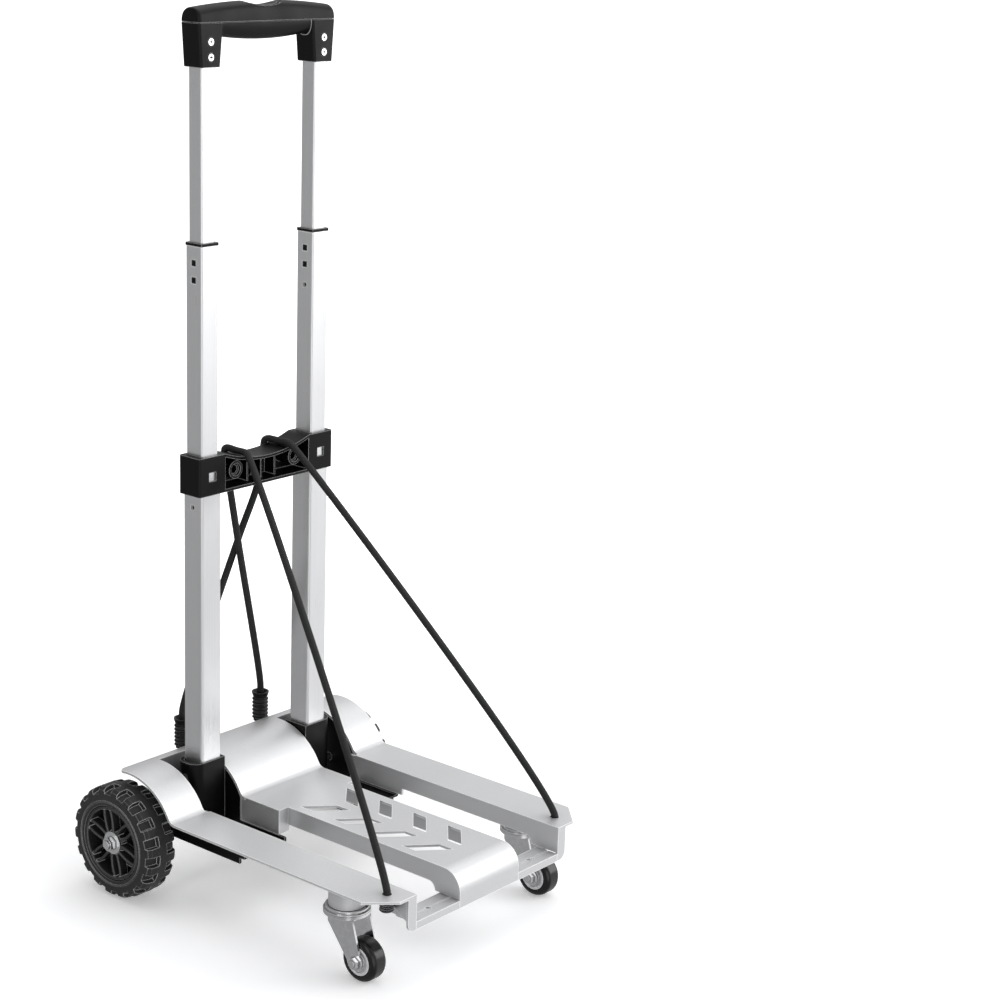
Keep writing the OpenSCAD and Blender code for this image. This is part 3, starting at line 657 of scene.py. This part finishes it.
def spline(points):
    """A smooth curve through the given points (Catmull-Rom with centripetal spacing)."""
    points = [Vector(p) for p in points]
    ends = [2 * points[0] - points[1]] + points + [2 * points[-1] - points[-2]]
    out = []
    for i in range(1, len(ends) - 2):
        p0, p1, p2, p3 = ends[i - 1:i + 3]
        t0 = 0.0
        t1 = t0 + math.sqrt((p1 - p0).length)
        t2 = t1 + math.sqrt((p2 - p1).length)
        t3 = t2 + math.sqrt((p3 - p2).length)
        count = max(4, int((p2 - p1).length / (3 * MM)))
        for k in range(count):
            t = t1 + (t2 - t1) * k / count
            a1 = p0.lerp(p1, (t - t0) / (t1 - t0))
            a2 = p1.lerp(p2, (t - t1) / (t2 - t1))
            a3 = p2.lerp(p3, (t - t2) / (t3 - t2))
            b1 = a1.lerp(a2, (t - t0) / (t2 - t0))
            b2 = a2.lerp(a3, (t - t1) / (t3 - t1))
            out.append(b1.lerp(b2, (t - t1) / (t2 - t1)))
    return out + [points[-1]]


def sleeve(name, path, radius, sides=20):
    """A round tube along a path, with a map that runs round and along it for the braid."""
    rings, lengths = [], [0.0]
    side = Vector((1, 0, 0))
    for i, point in enumerate(path):
        ahead = (path[min(i + 1, len(path) - 1)] - path[max(i - 1, 0)]).normalized()
        side = (side - ahead * side.dot(ahead)).normalized()
        up = ahead.cross(side)
        rings.append([
            point + radius * (side * math.cos(a) + up * math.sin(a))
            for a in (2 * math.pi * k / sides for k in range(sides))
        ])
        if i:
            lengths.append(lengths[-1] + (point - path[i - 1]).length)
    obj = loft(name, rings)
    layer = obj.data.uv_layers.new(name="map")
    for polygon in obj.data.polygons:
        columns = [obj.data.loops[l].vertex_index % sides for l in polygon.loop_indices]
        wrap = max(columns) - min(columns) > 1
        for loop, column in zip(polygon.loop_indices, columns):
            turn = (column + (sides if wrap and column == 0 else 0)) / sides
            layer.data[loop].uv = (turn, lengths[obj.data.loops[loop].vertex_index // sides])
    return obj


def cords():
    """Each cord as two braided pieces: deck corner to crossbar, and crossbar down to its grip."""
    bar_low, bar_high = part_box("crossbar")
    middle_y = (bar_low.y + bar_high.y) / 2
    face = (bar_high.y - bar_low.y) / 2
    grip_low, grip_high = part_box("cord_grip_right")
    plug_low, plug_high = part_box("cord_plugs")
    corner = Vector((plug_high.x - 6.6 * MM, (plug_low.y + plug_high.y) / 2, plug_high.z + 0.3 * MM))
    grip = Vector(((grip_low.x + grip_high.x) / 2, (grip_low.y + grip_high.y) / 2, grip_high.z))
    radius = 3.4 * MM
    lie = bar_high.z - 3.8 * MM
    over = 28 * MM
    for side, shift, name in ((1, 8 * MM, "right"), (-1, 0.0, "left")):
        def at(x, y, z):
            return Vector((side * x, middle_y + y, z))
        front = spline([
            Vector((side * corner.x, corner.y, corner.z - 8 * MM)),
            Vector((side * corner.x, corner.y, corner.z + 5 * MM)),
            at(over + 1.2 * MM, -face - 3.0 * MM, lie - 1.8 * MM),
            at(over + 0.6 * MM, -face + 0.5 * MM, lie),
            at(over, 0.0, lie),
            at(over - 1.0 * MM, face - 0.5 * MM, lie),
            at(over - 1.6 * MM, face + 3.2 * MM, lie - 2.0 * MM),
            at(over - 2.0 * MM, face + 4.1 * MM, lie - 6 * MM),
            at(over - 3.0 * MM, face + 4.3 * MM, lie - 14 * MM),
        ])
        rear = spline([
            at(over - 2.9 * MM, face + 4.3 * MM, lie - 13 * MM),
            at(18 * MM, face + 4.4 * MM, bar_low.z - 12 * MM),
            Vector((side * 4 * MM, middle_y + 22 * MM + shift, 320 * MM)),
            Vector((-side * grip.x, grip.y, grip.z + 8 * MM)),
            Vector((-side * grip.x, grip.y, grip.z - 2.5 * MM)),
        ])
        piece = sleeve("cord_front_" + name, front, radius)
        paint(piece, "cord_elastic")
        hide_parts("cord_" + name)
        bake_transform(piece)
        piece = sleeve("cord_rear_" + name, rear, radius)
        paint(piece, "cord_elastic")
        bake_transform(piece)


def cord_grip(name):
    """A ribbed grip with a flared, hollow mouth for the cord."""
    low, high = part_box("cord_grip_" + name)
    centre = Vector(((low.x + high.x) / 2, (low.y + high.y) / 2, low.z))
    tall = high.z - low.z
    outline = [(2.0 * MM, 0.0), (6.4 * MM, 0.0), (7.2 * MM, 0.6 * MM)]
    for i in range(41):
        t = i / 40
        ripple = math.cos(2 * math.pi * 5.5 * t)
        outline.append(((7.5 + 0.75 * ripple) * MM, (1.2 + 21.5 * t) * MM))
    mouth = ((7.4, 5.2), (8.6, 1.6), (8.7, 0.4), (8.2, 0.0), (7.4, 0.3), (5.6, 3.0), (2.0, 4.0))
    outline += [(r * MM, tall - down * MM) for r, down in mouth]
    piece = turned("grip_" + name, outline, centre, "z", 48)
    outward(piece)
    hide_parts("cord_grip_" + name)
    paint(piece, "black_plastic")
    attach(piece, "deck")


handle_cap()
handle_legs()
button()
for hand, word in ((-1, "left"), (1, "right")):
    tyre(hand, word)
    rim(hand, word)
    cord_grip(word)
cords()


# ---------------------------------------------------------------- stage, lights and camera

BRIGHT_SIDE = Vector((0.85, -0.40, 0.35)).normalized()
STRIP_SIDE = (-0.64, -0.77, 0.0)


def world_light():
    """White to the camera; in reflections, bright in front on the right and darker behind on the left."""
    world = bpy.data.worlds.new("studio")
    bpy.context.scene.world = world
    world.use_nodes = True
    tree = world.node_tree
    back = tree.nodes["Background"]
    coords = tree.nodes.new("ShaderNodeTexCoord")
    dot = tree.nodes.new("ShaderNodeVectorMath")
    dot.operation = "DOT_PRODUCT"
    dot.inputs[1].default_value = BRIGHT_SIDE
    tree.links.new(coords.outputs["Generated"], dot.inputs[0])
    ramp = tree.nodes.new("ShaderNodeValToRGB")
    tree.links.new(dot.outputs["Value"], ramp.inputs[0])
    stops = ramp.color_ramp.elements
    stops[0].position = 0.0
    stops[0].color = grey(0.36)
    stops[1].position = 0.75
    stops[1].color = grey(1.0)
    strip = tree.nodes.new("ShaderNodeVectorMath")
    strip.operation = "DOT_PRODUCT"
    strip.inputs[1].default_value = STRIP_SIDE
    tree.links.new(coords.outputs["Generated"], strip.inputs[0])
    band = tree.nodes.new("ShaderNodeMapRange")
    for key, number in (("From Min", 0.88), ("From Max", 0.95), ("To Min", 0.0), ("To Max", 1.0)):
        band.inputs[key].default_value = number
    tree.links.new(strip.outputs["Value"], band.inputs["Value"])
    lit = tree.nodes.new("ShaderNodeMix")
    lit.data_type = "RGBA"
    tree.links.new(band.outputs["Result"], lit.inputs[0])
    tree.links.new(ramp.outputs["Color"], lit.inputs[6])
    lit.inputs[7].default_value = grey(1.5)
    shown = tree.nodes.new("ShaderNodeBackground")
    shown.inputs["Color"].default_value = (1, 1, 1, 1)
    shown.inputs["Strength"].default_value = 1.0
    tree.links.new(lit.outputs[2], back.inputs["Color"])
    back.inputs["Strength"].default_value = 0.86
    path = tree.nodes.new("ShaderNodeLightPath")
    pick = tree.nodes.new("ShaderNodeMixShader")
    tree.links.new(path.outputs["Is Camera Ray"], pick.inputs[0])
    tree.links.new(back.outputs[0], pick.inputs[1])
    tree.links.new(shown.outputs[0], pick.inputs[2])
    tree.links.new(pick.outputs[0], tree.nodes["World Output"].inputs["Surface"])


def softbox(name, place, target, size, power):
    """A rectangular studio light that faces its target."""
    light = bpy.data.lights.new(name, "AREA")
    light.shape = "RECTANGLE"
    light.size, light.size_y = size
    light.energy = power
    lamp = bpy.data.objects.new(name, light)
    bpy.context.scene.collection.objects.link(lamp)
    lamp.location = place
    lamp.rotation_euler = (Vector(target) - Vector(place)).to_track_quat("-Z", "Y").to_euler()


def floor():
    """A pale floor that fades into the white background."""
    mesh = bpy.data.meshes.new("floor")
    far = 30.0
    mesh.from_pydata([(-far, -far, 0), (far, -far, 0), (far, far, 0), (-far, far, 0)], [], [(0, 1, 2, 3)])
    obj = bpy.data.objects.new("floor", mesh)
    bpy.context.scene.collection.objects.link(obj)
    obj.location.z = cad_low.z
    g = Graph("floor_paint")
    g.set(Base_Color=g.mix(g.noise(3, 2), grey(0.90), grey(0.94)), Roughness=0.85)
    g.bump(g.noise(900, 2), 0.03, 0.0002)
    distance = g.add("ShaderNodeVectorMath", operation="LENGTH")
    g.link(g.place, distance.inputs[0])
    g.link(g.spread(distance.outputs["Value"], 0.25, 1.3, 0.30, 1.0), g.bsdf.inputs["Emission Strength"])
    g.bsdf.inputs["Emission Color"].default_value = (1, 1, 1, 1)
    mesh.materials.append(g.material)
    obj.visible_glossy = False


def camera():
    """Front left of the cart, a little above it, looking slightly down."""
    azimuth, elevation, roll = (math.radians(a) for a in (-50.83, 15.25, 1.98))
    target = Vector((0.0707, -0.1304, 0.4004))
    distance = 2.0673
    focal_length_in_widths = 2.2675
    level = math.cos(elevation)
    back = Vector((math.sin(azimuth) * level, -math.cos(azimuth) * level, math.sin(elevation)))
    data = bpy.data.cameras.new("camera")
    data.sensor_width = 36.0
    data.lens = focal_length_in_widths * data.sensor_width
    data.clip_start, data.clip_end = 0.05, 50
    obj = bpy.data.objects.new("camera", data)
    bpy.context.scene.collection.objects.link(obj)
    obj.location = target + back * distance
    turn = (-back).to_track_quat("-Z", "Y").to_matrix() @ Matrix.Rotation(roll, 3, "Z")
    obj.rotation_euler = turn.to_euler()
    bpy.context.scene.camera = obj


world_light()
floor()
softbox("top", (0.3, 0.2, 2.4), (0.0, -0.1, 0.3), (2.4, 2.4), 20)
softbox("front_right", (1.9, -1.7, 1.3), (0.0, -0.1, 0.4), (1.6, 2.2), 28)
softbox("left", (-2.2, -0.4, 1.4), (0.0, -0.1, 0.4), (1.2, 2.0), 8)
camera()
bpy.context.scene.view_settings.view_transform = "Standard"
